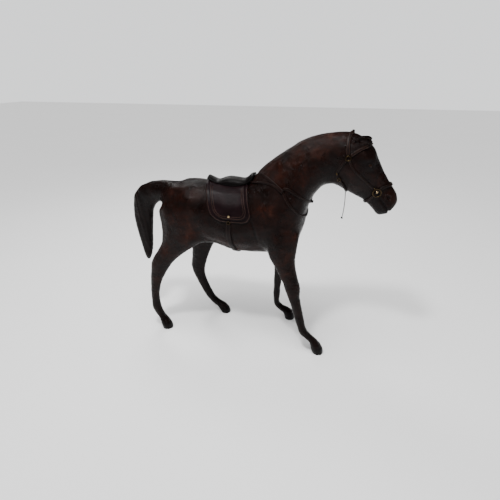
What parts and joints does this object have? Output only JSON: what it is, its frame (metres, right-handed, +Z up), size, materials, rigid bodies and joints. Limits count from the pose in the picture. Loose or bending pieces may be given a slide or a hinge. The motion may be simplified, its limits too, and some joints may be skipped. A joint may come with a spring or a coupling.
{
  "type": "leather horse sculpture",
  "caption": "Walking horse figurine wrapped in dark brown leather, with a saddle, girth, breast straps, bridle and brass fittings.",
  "frame": {"origin": "under the middle of the figure's box, on the plane of its four soles, measured without the hanging lace and its knot", "axes": "+X the way the horse walks, +Y to its left side, +Z up"},
  "size_m": [0.5112, 0.1326, 0.4214],
  "materials": {
    "leather": "waxed dark brown leather, lighter and redder where it is rubbed",
    "tack_leather": "smooth dark plum brown strap and saddle leather with a soft sheen",
    "brass": "aged brass, worn bright on its edges",
    "glass_eye": "glossy near-black eye",
    "lace": "thin dark leather lace"
  },
  "bodies": {
    "root": {"horse_body": "leather", "saddle_pad": "tack_leather", "saddle_flaps": "tack_leather", "saddle_seat": "tack_leather", "girth": "tack_leather", "girth_ring_right": "brass", "girth_ring_left": "brass", "flap_stud_right": "brass", "flap_stud_left": "brass", "cheek_ring_right": "brass", "cheek_ring_left": "brass", "bit_ring_right": "brass", "bit_ring_left": "brass", "bit_stud_right": "brass", "bit_stud_left": "brass", "throat_stud_right": "brass", "throat_stud_left": "brass", "throat_ring_right": "brass", "throat_ring_left": "brass", "crown_strap": "tack_leather", "browband": "tack_leather", "cheekpiece_right": "tack_leather", "cheekpiece_left": "tack_leather", "throatlatch": "tack_leather", "noseband": "tack_leather", "breast_collar": "tack_leather", "breast_strap": "tack_leather", "saddle_tie_right": "tack_leather", "saddle_tie_left": "tack_leather", "breast_tab_right": "tack_leather", "breast_tab_left": "tack_leather", "eye_right": "glass_eye", "eye_left": "glass_eye", "bridle_lace": "lace", "lace_knot": "lace"}
  },
  "joints": []
}
